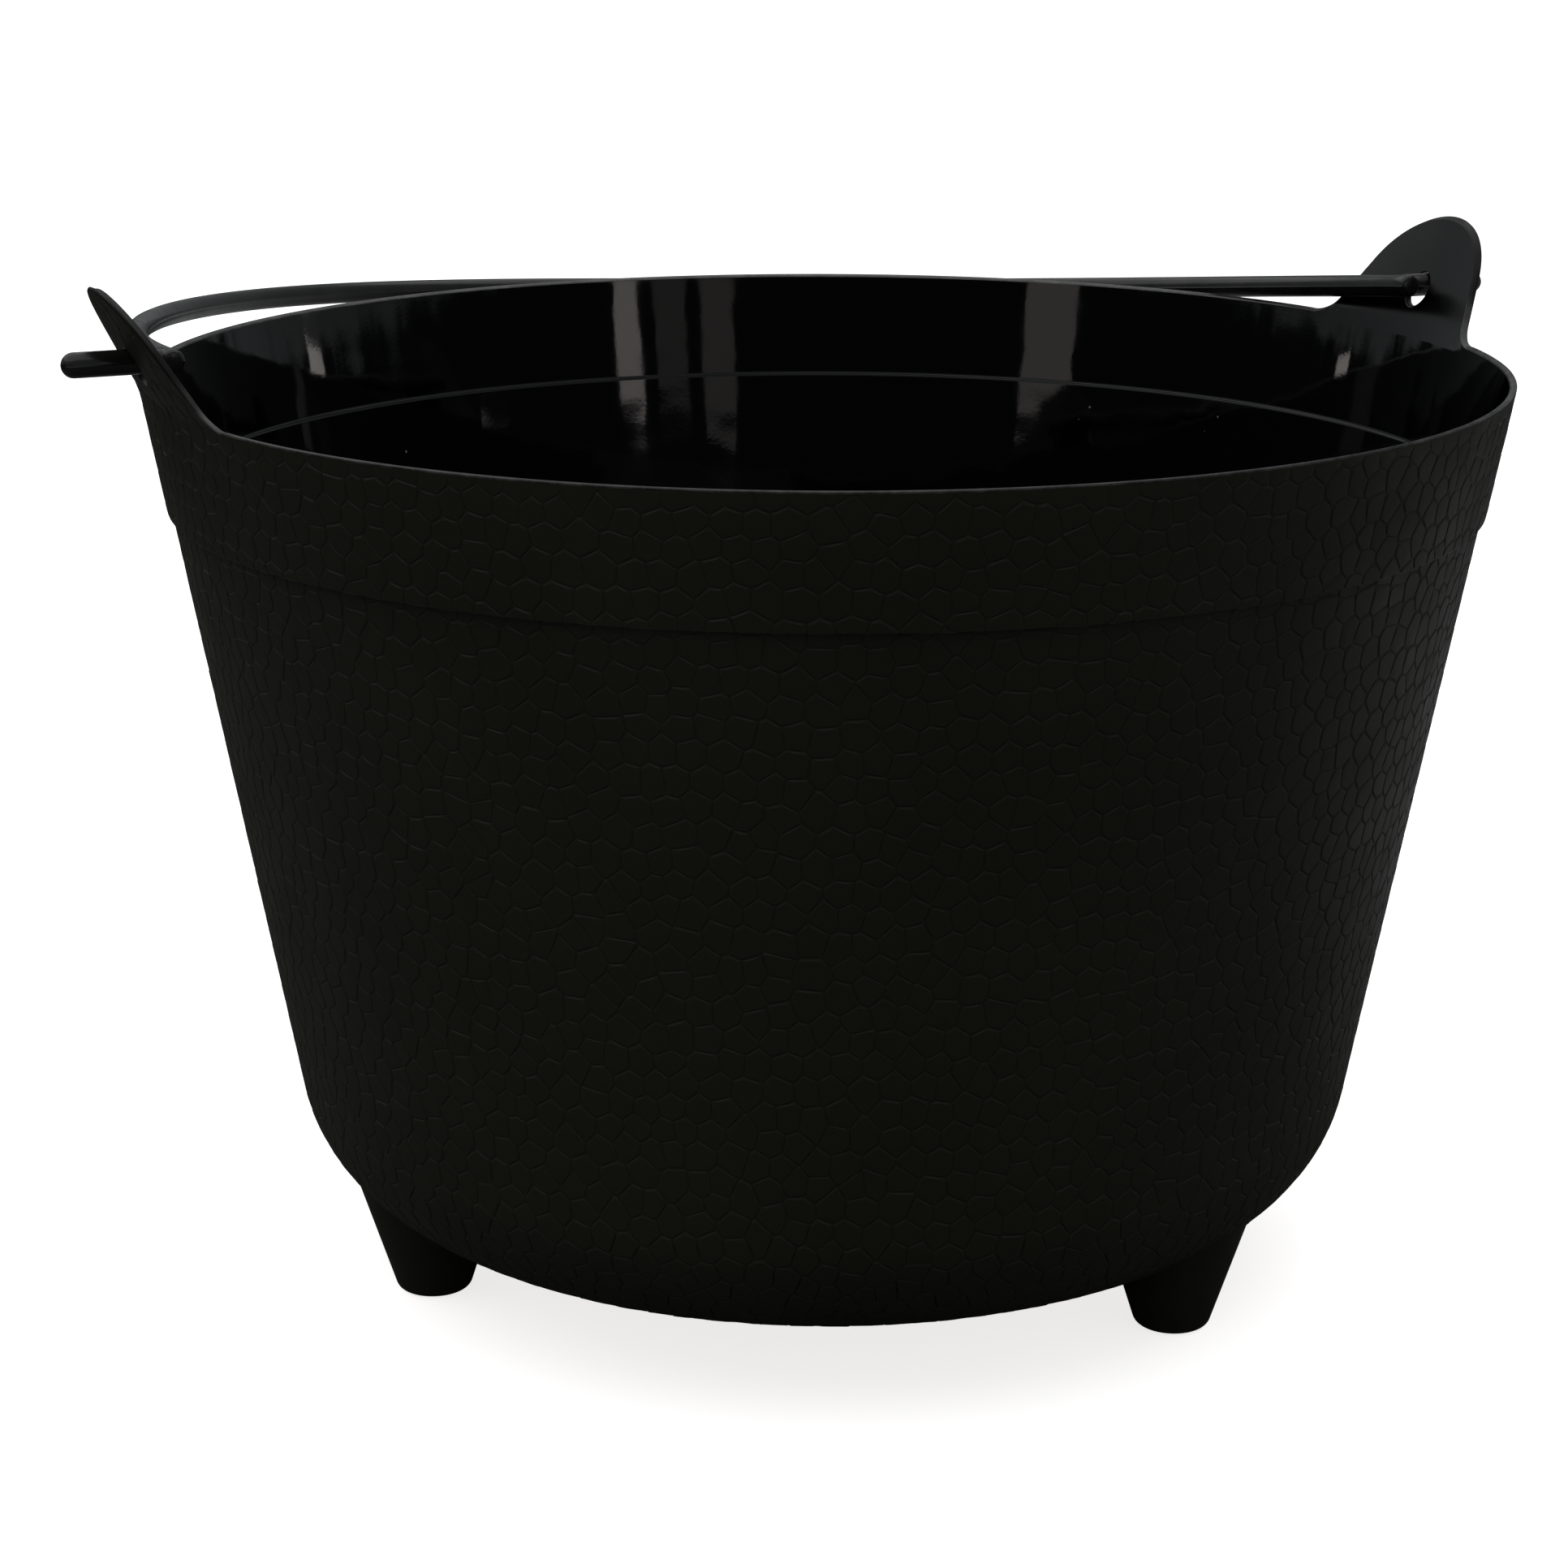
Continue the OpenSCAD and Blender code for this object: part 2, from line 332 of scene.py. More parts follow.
class Region:
    """Flat points and fixed edges, gathered and then triangulated inside the skin's edge."""

    def __init__(self):
        self.points, self.edges, self.count = [], [], 0

    def add(self, points, edges=()):
        points = np.asarray(points, float).reshape(-1, 2)
        self.edges += [(a + self.count, b + self.count) for a, b in edges]
        self.points.append(points)
        self.count += len(points)

    def add_border(self, section, seam_t):
        """The upper edge, both sides of the back seam, the lower edge and the ear holes."""
        self.add(RIM_LOOP, chain(0, len(RIM_LOOP)))
        low = section.t[-1]
        s = np.linspace(-GIRTH / 2, GIRTH / 2, COLUMNS + 1)
        self.add(np.stack([s, np.full_like(s, low)], -1), chain(0, len(s)))
        rows = np.concatenate([[EDGE_ROUND], seam_t, [low]])
        for side in (-GIRTH / 2, GIRTH / 2):
            self.add(np.stack([np.full_like(rows, side), rows], -1), chain(0, len(rows)))
        for middle in EAR_MIDDLES:
            hole = hole_loop(section, middle, HOLE_R + HOLE_ROUND)
            self.add(hole, closed(0, len(hole)))

    def triangles(self, low):
        """All triangles between the upper edge and the lower, except over the holes."""
        verts, faces = triangulate(np.concatenate(self.points), self.edges)
        middle = verts[faces].mean(1)
        s, t = middle[:, 0], middle[:, 1]
        top = np.interp(s, RIM_LOOP[:, 0], RIM_LOOP[:, 1])
        keep = (np.abs(s) < GIRTH / 2) & (t > top) & (t < low)
        keep &= hole_distance(s, t) > 0.97 * HOLE_ROUND
        return verts, faces[keep]


class MeshBuilder:
    """Gathers vertices and faces, with a material number for each face."""

    def __init__(self):
        self.verts, self.faces, self.slots, self.count = [], [], [], 0

    def add(self, verts, faces, slot=0):
        self.faces += [[int(v) + self.count for v in face] for face in faces]
        self.slots += [slot] * len(faces)
        self.verts.append(np.asarray(verts).reshape(-1, 3))
        self.count += len(self.verts[-1])

    def add_grid(self, rows, slot=0, wrap=True, flip=False):
        """Quads between rows of equal length."""
        rows = np.asarray(rows)
        height, width = rows.shape[:2]
        faces = []
        for i in range(height - 1):
            for k in range(width if wrap else width - 1):
                a, b = i * width + k, i * width + (k + 1) % width
                quad = [a, b, b + width, a + width]
                faces.append(quad[::-1] if flip else quad)
        self.add(rows, faces, slot)

    def build(self, name, materials, sharp):
        """Makes the object. sharp gives the crease angle for faces of each material."""
        mesh = bpy.data.meshes.new(name)
        mesh.from_pydata(np.concatenate(self.verts).tolist(), [], self.faces)
        mesh.polygons.foreach_set("material_index", self.slots)
        work = bmesh.new()
        work.from_mesh(mesh)
        bmesh.ops.remove_doubles(work, verts=work.verts, dist=2e-6)
        bmesh.ops.dissolve_degenerate(work, edges=work.edges, dist=1e-6)
        bmesh.ops.recalc_face_normals(work, faces=work.faces)
        for edge in work.edges:
            slots = {face.material_index for face in edge.link_faces}
            edge.smooth = len(slots) == 1 and edge.calc_face_angle(0) < sharp[min(slots)]
        for face in work.faces:
            face.smooth = True
        work.to_mesh(mesh)
        work.free()
        for material in materials:
            mesh.materials.append(material)
        piece = bpy.data.objects.new(name, mesh)
        bpy.context.scene.collection.objects.link(piece)
        return piece


# ---------------------------------------------------------------- the cellular relief
def wrapped(seeds, margin):
    """The seeds and copies of those near the seam on its other side; and whose copy each is."""
    left = np.flatnonzero(seeds[:, 0] < -GIRTH / 2 + margin)
    right = np.flatnonzero(seeds[:, 0] > GIRTH / 2 - margin)
    copies = np.concatenate([seeds, seeds[left] + [GIRTH, 0], seeds[right] - [GIRTH, 0]])
    return copies, np.concatenate([np.arange(len(seeds)), left, right])


def voronoi(seeds):
    """Corner points, and for each seed the numbers of its cell's corners in order."""
    _, triangles = triangulate(seeds, [])
    a, b, c = (seeds[triangles[:, k]] for k in range(3))
    ab, ac = b - a, c - a
    twice = 2 * (ab[:, 0] * ac[:, 1] - ab[:, 1] * ac[:, 0])
    ab2, ac2 = (ab ** 2).sum(1), (ac ** 2).sum(1)
    corners = a + np.stack([(ac[:, 1] * ab2 - ab[:, 1] * ac2) / twice,
                            (ab[:, 0] * ac2 - ac[:, 0] * ab2) / twice], -1)
    owner = triangles.ravel()
    corner = np.repeat(np.arange(len(triangles)), 3)
    away = corners[corner] - seeds[owner]
    order = np.lexsort((np.arctan2(away[:, 1], away[:, 0]), owner))
    starts = np.searchsorted(owner[order], np.arange(len(seeds) + 1))
    cells = [corner[order[starts[k]:starts[k + 1]]] for k in range(len(seeds))]
    return corners, cells


def seed_rows():
    """One seed per cell, in rows, spaced evenly on the tapering wall."""
    rows = []
    t = -EAR_REACH - CELL_H
    while t < T_BASE + 3 * CELL_H:
        if len(rows) % ROWS_ALIKE == 0:
            r, _ = OUTSIDE.at(t + ROWS_ALIKE / 2 * CELL_H)
            count = round(2 * math.pi * float(r) / CELL_W)
        s = (np.arange(count) + len(rows) % 2 / 2) / count * GIRTH - GIRTH / 2
        s += random.uniform(-SEED_JITTER[0], SEED_JITTER[0], count) * GIRTH / count
        s = (s + GIRTH / 2) % GIRTH - GIRTH / 2
        shift = random.uniform(-SEED_JITTER[1], SEED_JITTER[1], count) * CELL_H
        rows.append(np.stack([s, t + shift], -1))
        t += CELL_H
    return np.concatenate(rows)


def relaxed(seeds, passes=1):
    """Moves each seed half-way to its cell's middle, so that no cell is a sliver."""
    for _ in range(passes):
        corners, cells = voronoi(wrapped(seeds, 6 * CELL_W)[0])
        low, high = seeds[:, 1].min() + CELL_H, seeds[:, 1].max() - CELL_H
        for k, seed in enumerate(seeds):
            if low < seed[1] < high:
                seeds[k] = (seed + corners[cells[k]].mean(0)) / 2
    return seeds


class Relief:
    """The pattern of cells: where its lines run, and how high the skin is anywhere."""

    def __init__(self):
        seeds = relaxed(seed_rows())
        self.seeds, whose = wrapped(seeds, 3 * CELL_W)
        self.corners, self.cells = voronoi(self.seeds)
        self.tilts = random.uniform(-CELL_TILT, CELL_TILT, (len(seeds), 2))[whose]
        self.tilts[:, 1] += CELL_LEAN
        self.tree = kdtree.KDTree(len(self.seeds))
        for k, (s, t) in enumerate(self.seeds):
            self.tree.insert((s, t, 0), k)
        self.tree.balance()

    def strength(self, s, t):
        """1 where the relief is full, falling to 0 at the edges, the holes and the base."""
        room = np.minimum(edge_distance(s, t), hole_distance(s, t) - 2 * HOLE_ROUND)
        room = np.minimum(room, T_BASE - t)
        return np.clip(room / RELIEF_FADE, 0, 1)

    def lift(self, s, t):
        """Height of the relief at each point: a tilted, crowned cell top or a groove."""
        lifts = np.zeros(len(s))
        for k, point in enumerate(zip(s, t)):
            near = self.tree.find_n((*point, 0), 4)
            own = self.seeds[near[0][1]]
            gap = 1.0
            for _, other, _ in near[1:]:
                across = self.seeds[other] - own
                middle = (self.seeds[other] + own) / 2
                gap = min(gap, float((middle - point) @ across) / math.hypot(*across))
            rise = min(max(gap / GROOVE_SLOPE_W, 0), 1)
            crown = CELL_CROWN * min(max(gap / (0.45 * CELL_W), 0), 1)
            tilt = float(self.tilts[near[0][1]] @ (np.array(point) - own))
            lifts[k] = GROOVE_DEPTH * (rise - 1) + (crown + tilt) * rise
        return lifts * self.strength(s, t)

    def lines(self):
        """Segments of the groove bottoms and of the cells' rounded outlines."""
        found = []
        joined = set()
        for k, cell in enumerate(self.cells):
            seed = self.seeds[k]
            if len(cell) < 3 or abs(seed[0]) > GIRTH / 2 + 2 * CELL_W:
                continue
            for a, b in zip(cell, np.roll(cell, -1)):
                pair = (min(a, b), max(a, b))
                if pair not in joined:
                    joined.add(pair)
                    found.append((self.corners[pair[0]], self.corners[pair[1]]))
            ring = seed + (self.corners[cell] - seed) * (1 - GROOVE_SHARE)
            before, after = np.roll(ring, 1, 0), np.roll(ring, -1, 0)
            points = np.stack([ring + (before - ring) * CORNER_CUT,
                               ring + (after - ring) * CORNER_CUT], 1).reshape(-1, 2)
            found += list(zip(points, np.roll(points, -1, 0)))
        return np.array(found)

    def add_to(self, region):
        """Adds the lines, cut off just short of the skin's edges, and the cells' middles."""
        lines = self.lines()
        margin = 0.25 * MM

        def clear(points):
            s, t = points[..., 0], points[..., 1]
            room = np.minimum(edge_distance(s, t), hole_distance(s, t) - HOLE_ROUND)
            return np.minimum(room, T_BASE - t) > margin

        start, end = lines[:, 0], lines[:, 1]
        starts_in, ends_in = clear(start), clear(end)
        swap = ends_in & ~starts_in
        start[swap], end[swap] = end[swap].copy(), start[swap].copy()
        crossing = starts_in ^ ends_in
        low, high = np.zeros(len(lines)), np.ones(len(lines))
        for _ in range(14):            # halve the part where the line leaves the skin
            middle = (low + high) / 2
            inside = clear(start + (end - start) * middle[:, None])
            low, high = np.where(inside, middle, low), np.where(inside, high, middle)
        end = np.where(crossing[:, None], start + (end - start) * low[:, None], end)
        keep = starts_in | ends_in
        segments = np.stack([start[keep], end[keep]], 1)
        region.add(segments, [(2 * k, 2 * k + 1) for k in range(len(segments))])
        region.add(self.seeds[clear(self.seeds)])


# ---------------------------------------------------------------- the shell
def outside_skin(builder):
    """The cellular outside, with the band's step; the bevel on the step is edge material."""
    relief = Relief()
    region = Region()
    region.add_border(OUTSIDE, T_STEP)
    for t in T_STEP:
        region.add([(-GIRTH / 2, t), (GIRTH / 2, t)], [(0, 1)])
    relief.add_to(region)
    flat, faces = region.triangles(T_BASE)
    skin = place(OUTSIDE, flat[:, 0], flat[:, 1], relief.lift(flat[:, 0], flat[:, 1]))
    middle = flat[faces, 1].mean(1)
    on_bevel = (middle > T_STEP[0]) & (middle < T_STEP[1])
    builder.add(skin, faces[~on_bevel], OUTER_SLOT)
    builder.add(skin, faces[on_bevel], EDGE_SLOT)


def inside_skin(builder):
    """A plain grid down to the floor, with rows that hold the ledge, and closer on the ears."""
    region = Region()
    rows = np.unique(np.concatenate([
        np.linspace(2.5 * MM, T_LEDGE[0] - LEDGE_ROUND, 6), T_LEDGE, [T_LEDGE[-1] + LEDGE_ROUND],
        np.linspace(T_LEDGE[-1], T_BEND[0], 12)[1:-1], T_BEND]))
    region.add_border(INSIDE, rows)
    s = np.linspace(-GIRTH / 2, GIRTH / 2, COLUMNS + 1)[1:-1]
    region.add(np.stack(np.meshgrid(s, rows), -1))
    for middle in EAR_MIDDLES:
        across, down = np.arange(-40, 41, 2.5) * MM, np.arange(-40, 2, 2.5) * MM
        s, t = np.meshgrid(across + middle, down)
        room = np.minimum(edge_distance(s, t), hole_distance(s, t))
        region.add(np.stack([s, t], -1)[room > 1.2 * MM])
    flat, faces = region.triangles(INSIDE.t[-1])
    builder.add(place(INSIDE, flat[:, 0], flat[:, 1]), faces, INNER_SLOT)


def rim_edge(builder):
    """The rounded strip that joins the two skins along the rim and round the ears."""
    s, t = RIM_LOOP.T
    outer, inner = place(OUTSIDE, s, t), place(INSIDE, s, t)
    along = np.gradient(outer, axis=0)
    along[[0, -1]] = (outer[1] - outer[0]) + (outer[-1] - outer[-2])
    outward = place(OUTSIDE, s, t, MM) - outer
    inward = -outward
    away = np.cross(along, outward)
    away /= np.linalg.norm(away, axis=1)[:, None]
    away *= np.sign(away[:, 2:3])
    outward /= np.linalg.norm(outward, axis=1)[:, None]
    inward /= np.linalg.norm(inward, axis=1)[:, None]
    angles = np.radians([0, 30, 60, 90])
    rows = [outer + EDGE_ROUND * (away * math.sin(a) - outward * (1 - math.cos(a)))
            for a in angles]
    rows += [inner + EDGE_ROUND * (away * math.sin(a) - inward * (1 - math.cos(a)))
             for a in angles[::-1]]
    builder.add_grid(rows, EDGE_SLOT, wrap=False)


def hole_edges(builder):
    """The walls of the two ear holes, with a small round at each end."""
    for middle in EAR_MIDDLES:
        loops = []
        for section in (OUTSIDE, INSIDE):
            flat = hole_loop(section, middle, HOLE_R + HOLE_ROUND)
            loops.append(place(section, flat[:, 0], flat[:, 1]))
        outer, inner = loops
        side = math.copysign(1, middle)
        radial = outer - [0, 0, HOLE_Z]
        radial[:, 0] = 0
        radial /= np.linalg.norm(radial, axis=1)[:, None]
        rows = []
        for loop, sign in ((outer, -side), (inner, side)):
            made = [loop - radial * HOLE_ROUND * (1 - math.cos(a))
                    + [sign * HOLE_ROUND * math.sin(a), 0, 0] for a in np.radians([0, 35, 90])]
            rows += made if sign == -side else made[::-1]
        builder.add_grid(rows, EDGE_SLOT)


def disc(builder, z, slot, gate=0.0):
    """The flat floor from the bend to its middle, with a moulding gate as high as asked."""
    angles = np.linspace(-GIRTH / 2, GIRTH / 2, COLUMNS + 1)[:-1] / RIM_R - math.pi / 2
    circle = np.stack([np.cos(angles), np.sin(angles), 0 * angles], -1)
    radii = [CORNER_C, 0.6 * CORNER_C, 0.3 * CORNER_C, 5 * MM, *GATE_RADII, 0.6 * MM]
    heights = [0, 0, 0, 0, 0, gate, gate]
    rows = [circle * r + [0, 0, z + h] for r, h in zip(radii, heights)]
    builder.add_grid(rows, slot)
    builder.add(rows[-1], [list(range(COLUMNS))], slot)


def make_shell(materials):
    """Both skins, the edges that join them, and the floor, as one closed mesh."""
    builder = MeshBuilder()
    outside_skin(builder)
    inside_skin(builder)
    rim_edge(builder)
    hole_edges(builder)
    disc(builder, BASE_Z, OUTER_SLOT, gate=-GATE_H)
    disc(builder, BASE_Z + FLOOR_T, INNER_SLOT)
    return builder.build("bucket_shell", materials, SHELL_CREASES)


# ---------------------------------------------------------------- the bail
def rod_angles():
    """Angles round a rod, closer together at its two parting lines."""
    half = [0, 4, 9, 24, 42, 60, 78, 90, 102, 120, 138, 156, 171, 176]
    return np.radians(half + [a + 180 for a in half])


def rod_ring(centre, side, up, radius):
    """A ring of points round a rod, standing proud at the two parting lines."""
    angles = rod_angles()
    reach = np.full(len(angles), radius)
    reach[[0, len(angles) // 2]] += FLASH * min(1, radius / BOW_R)
    return centre + reach[:, None] * (np.cos(angles)[:, None] * side
                                      + np.sin(angles)[:, None] * up)


def bow_point(angle):
    """Middle of the rod: a half ellipse that hangs a little below level and is twisted."""
    x, y = -BOW_HALF * math.cos(angle), BOW_REACH * math.sin(angle)
    return np.array([x, y, PIVOT_Z - y * math.tan(BOW_DROOP + BOW_TWIST * x / BOW_HALF)])


def bow_ring(angle, past=0.0, radius=BOW_R):
    """A ring on the bow, or as far past the bow's end as asked."""
    run = bow_point(angle + 0.01) - bow_point(angle - 0.01)
    run /= np.linalg.norm(run)
    side = np.cross(run, [0, 0, 1])
    side /= np.linalg.norm(side)
    return rod_ring(bow_point(angle) + past * run, side, np.cross(side, run), radius)


def make_bow():
    """Rings from the rounded end of one leg to that of the other."""
    bend = np.radians([8, 30, 60, 90])
    past = LEG_TAIL - TAIL_ROUND * (1 - np.cos(bend))
    radii = BOW_R - TAIL_ROUND * (1 - np.sin(bend))
    rings = [bow_ring(0, -far, radius) for far, radius in zip(past, radii)]
    rings += [bow_ring(angle) for angle in np.linspace(0, math.pi, 241)]
    rings += [bow_ring(math.pi, far, radius) for far, radius in zip(past[::-1], radii[::-1])]
    return rings


def make_pin(side):
    """Rings of a pin along X, from its leg to its domed tip, on the side given by its sign."""
    outer = BAIL_HIGH.x - PIN_R
    dome = np.radians(np.linspace(90, 4, 10))
    stations = [(BOW_HALF - PIN_ROOT, PIN_R / 2), (BOW_HALF + PIN_ROOT, PIN_R)]
    stations += [(outer + PIN_R * math.cos(a), PIN_R * math.sin(a)) for a in dome]
    return [rod_ring(np.array([side * x, 0, PIVOT_Z]), np.array([0, 1, 0]),
                     np.array([0, 0, side]), r) for x, r in stations]


def solid_rod(name, rings):
    """A closed rod through the rings."""
    builder = MeshBuilder()
    builder.add_grid(rings)
    count = len(rings[0])
    builder.add(rings[0], [list(range(count))])
    builder.add(rings[-1], [list(range(count))])
    return builder.build(name, [], [ROD_CREASE])


def joined(name, parts):
    """The union of closed pieces as one mesh."""
    whole = parts[0]
    for part in parts[1:]:
        cut = whole.modifiers.new("join", "BOOLEAN")
        cut.operation, cut.solver, cut.object = "UNION", "EXACT", part
    graph = bpy.context.evaluated_depsgraph_get()
    mesh = bpy.data.meshes.new_from_object(whole.evaluated_get(graph))
    for part in parts:
        bpy.data.objects.remove(part)
    piece = bpy.data.objects.new(name, mesh)
    bpy.context.scene.collection.objects.link(piece)
    return piece


def make_bail(material):
    """The bow and both pins in one piece."""
    rods = [solid_rod("bow", make_bow()), solid_rod("pin_a", make_pin(-1)),
            solid_rod("pin_b", make_pin(1))]
    bail = joined("bail_handle", rods)
    bail.data.materials.clear()
    bail.data.materials.append(material)
    bail.data.shade_smooth()
    bail.data.set_sharp_from_angle(angle=ROD_CREASE)
    return bail


# ---------------------------------------------------------------- the feet
def shell_height(radius):
    """Height of the shell's outside at a distance from the bucket's axis."""
    out = np.clip(radius - CORNER_C, 0, CORNER_R)
    return CORNER_Z - np.sqrt(CORNER_R ** 2 - out ** 2)


def make_foot(name, azimuth, material):
    """A tapered foot with a rounded bottom edge, topped by the surface of the shell."""
    columns = 96
    turn = np.linspace(0, 2 * math.pi, columns, endpoint=False)
    around = np.stack([np.cos(turn), np.sin(turn)], -1)
    direction = np.array([math.cos(azimuth), math.sin(azimuth)])
    centre = FOOT_PITCH_R * direction
    grow = math.tan(FOOT_SLOPE)
    round_c = FOOT_R + FOOT_ROUND * grow - FOOT_ROUND / math.cos(FOOT_SLOPE)

    def at(radius, z):
        flat = centre + np.asarray(radius).reshape(-1, 1) * around
        return np.concatenate([flat, np.broadcast_to(z, columns)[:, None]], 1)

    top = np.full(columns, BASE_Z)
    for _ in range(30):
        flat = centre + (FOOT_R + top * grow)[:, None] * around
        top = shell_height(np.linalg.norm(flat, axis=1)) + FOOT_SINK
    edge_z = FOOT_ROUND * (1 - math.sin(FOOT_SLOPE))
    rows = [at(share * round_c, 0) for share in (0.02, 0.5)]
    for a in np.linspace(-math.pi / 2, -FOOT_SLOPE, 9):
        rows.append(at(round_c + FOOT_ROUND * math.cos(a), FOOT_ROUND * (1 + math.sin(a))))
    for share in np.linspace(0, 1, 25)[1:]:
        z = edge_z + (top - edge_z) * share
        rows.append(at(FOOT_R + z * grow, z))
    for share in (0.8, 0.6, 0.4, 0.2, 0.02):
        flat = centre + (FOOT_R + top * grow)[:, None] * around * share
        z = shell_height(np.linalg.norm(flat, axis=1)) + FOOT_SINK
        rows.append(np.concatenate([flat, z[:, None]], 1))
    builder = MeshBuilder()
    builder.add_grid(rows)
    builder.add(rows[0], [list(range(columns))])
    builder.add(rows[-1], [list(range(columns))])
    return builder.build(name, [material], [FOOT_CREASE])


# ---------------------------------------------------------------- materials
class Nodes:
    """A short way to write the nodes of a material or of the world.

    Values that pass between its methods are node outputs, and lengths are in metres.
    """

    def __init__(self, owner, place="Object"):
        owner.use_nodes = True
        self.owner = owner
        self.tree = owner.node_tree
        self.shader = self.tree.nodes.get("Principled BSDF")
        self.place = self.add("ShaderNodeTexCoord").outputs[place]

    def add(self, kind, **values):
        node = self.tree.nodes.new(kind)
        for key, value in values.items():
            setattr(node, key, value)
        return node

    def link(self, source, target):
        self.tree.links.new(source, target)

    def noise(self, scale, detail=3.0, rough=0.55, stretch=None):
        node = self.add("ShaderNodeTexNoise")
        node.inputs["Scale"].default_value = scale
        node.inputs["Detail"].default_value = detail
        node.inputs["Roughness"].default_value = rough
        source = self.place
        if stretch:
            mapping = self.add("ShaderNodeMapping")
            mapping.inputs["Scale"].default_value = stretch
            self.link(source, mapping.inputs["Vector"])
            source = mapping.outputs["Vector"]
        self.link(source, node.inputs["Vector"])
        return node.outputs["Fac"]

    def height(self):
        node = self.add("ShaderNodeSeparateXYZ")
        self.link(self.place, node.inputs["Vector"])
        return node.outputs["Z"]

    def specks(self, scale, size):
        """Small sparse spots: 1 inside them and 0 elsewhere."""
        node = self.add("ShaderNodeTexVoronoi")
        node.inputs["Scale"].default_value = scale
        self.link(self.place, node.inputs["Vector"])
        spots = self.spread(node.outputs["Distance"], size, 1.4 * size, 1, 0)
        return self.math("MULTIPLY", spots, self.spread(self.noise(20), 0.52, 0.56, 0, 1))

    def spread(self, value, low, high, to_low, to_high):
        """The value carried over from the span low..high to to_low..to_high, and held there."""
        node = self.add("ShaderNodeMapRange")
        for socket, number in zip(("From Min", "From Max", "To Min", "To Max"),
                                  (low, high, to_low, to_high)):
            node.inputs[socket].default_value = number
        self.link(value, node.inputs["Value"])
        return node.outputs["Result"]

    def math(self, operation, a, b):
        node = self.add("ShaderNodeMath", operation=operation)
        for socket, value in zip(node.inputs, (a, b)):
            if isinstance(value, (int, float)):
                socket.default_value = value
            else:
                self.link(value, socket)
        return node.outputs["Value"]

    def mix_colour(self, share, a, b):
        node = self.add("ShaderNodeMix", data_type="RGBA")
        self.link(share, node.inputs["Factor"])
        node.inputs["A"].default_value = (*a, 1)
        node.inputs["B"].default_value = (*b, 1)
        return node.outputs["Result"]

    def bump(self, height, distance, before=None):
        node = self.add("ShaderNodeBump")
        node.inputs["Strength"].default_value = 1.0
        node.inputs["Distance"].default_value = distance
        self.link(height, node.inputs["Height"])
        if before:
            self.link(before, node.inputs["Normal"])
        return node.outputs["Normal"]

    def set(self, **inputs):
        """Sets the shader's inputs, each to a number, a colour or a node output."""
        for key, value in inputs.items():
            socket = self.shader.inputs[key.replace("_", " ")]
            if isinstance(value, bpy.types.NodeSocket):
                self.link(value, socket)
            else:
                socket.default_value = value


# Base colours
OUTSIDE_BLACK = (0.0185, 0.0190, 0.0105)
OUTSIDE_PALE = (0.0230, 0.0232, 0.0140)
INSIDE_BLACK = (0.0012, 0.0013, 0.0014)
ROD_BLACK = (0.008, 0.008, 0.007)
ROD_PALE = (0.018, 0.018, 0.016)
EDGE_BLACK = (0.008, 0.008, 0.007)
RUBBED = (0.060, 0.058, 0.054)
DUST = (0.25, 0.24, 0.22)
SCUFF = (0.03, 0.029, 0.026)


def outside_plastic():
    """Satin black plastic with a fine grain and faint dusty patches."""
    n = Nodes(bpy.data.materials.new("shell_outside"))
    patches = n.spread(n.noise(14, 4), 0.35, 0.7, 0, 1)
    n.set(Base_Color=n.mix_colour(patches, OUTSIDE_BLACK, OUTSIDE_PALE),
          Roughness=n.spread(n.noise(45, 5), 0.3, 0.7, 0.44, 0.54),
          Specular_IOR_Level=0.25,
          Normal=n.bump(n.noise(2600, 2), 0.012 * MM))
    return n.owner


def inside_plastic():
    """Glossy black plastic with a little dust, faintly rippled, and satin on the ears."""
    n = Nodes(bpy.data.materials.new("shell_inside"))
    height = n.height()
    satin = n.spread(height, RIM_Z - 2 * MM, RIM_Z + 7 * MM, 0.0, 0.2)
    polish = n.spread(n.noise(60, 5), 0.3, 0.7, 0.02, 0.07)
    ripple = n.bump(n.noise(62, 1, 0.4), 0.09 * MM)
    n.set(Base_Color=n.mix_colour(n.specks(75, 0.022), INSIDE_BLACK, DUST),
          Roughness=n.math("ADD", satin, polish),
          Specular_IOR_Level=0.5,
          Normal=n.bump(n.noise(900, 3), 0.003 * MM, ripple))
    return n.owner


def edge_plastic():
    """The edges of rim and band, rubbed paler with wear; darker up on the ears, where the rub
    fades out as painted shade, and duller there.
    """
    n = Nodes(bpy.data.materials.new("shell_edge"))
    # Painted shade: above the rim the rubbed colour fades out, so the ear edges are painted
    # darker; on the rim and band the paler rub is wear.
    rim_rub_with_painted_ear_shade = n.spread(n.height(), RIM_Z + 2 * MM, RIM_Z + 12 * MM, 1, 0.1)
    rub = n.math("MULTIPLY", rim_rub_with_painted_ear_shade, n.spread(n.noise(120, 6, 0.7), 0.40, 0.62, 0, 1))
    n.set(Base_Color=n.mix_colour(rub, EDGE_BLACK, RUBBED),
          Roughness=n.spread(n.noise(300, 4), 0.3, 0.7, 0.20, 0.36),
          Specular_IOR_Level=n.spread(n.height(), RIM_Z + 2 * MM, RIM_Z + 12 * MM, 0.6, 0.15),
          Normal=n.bump(n.noise(1500, 3), 0.02 * MM))
    return n.owner


def bail_plastic():
    """Semi-gloss black plastic, slightly uneven along the rod."""
    n = Nodes(bpy.data.materials.new("bail_rod"))
    patches = n.spread(n.noise(90, 4), 0.4, 0.7, 0, 1)
    n.set(Base_Color=n.mix_colour(patches, ROD_BLACK, ROD_PALE),
          Roughness=n.spread(n.noise(160, 5), 0.3, 0.7, 0.15, 0.26),
          Specular_IOR_Level=0.5,
          Normal=n.bump(n.noise(1800, 2), 0.01 * MM, n.bump(n.noise(140, 2), 0.08 * MM)))
    return n.owner


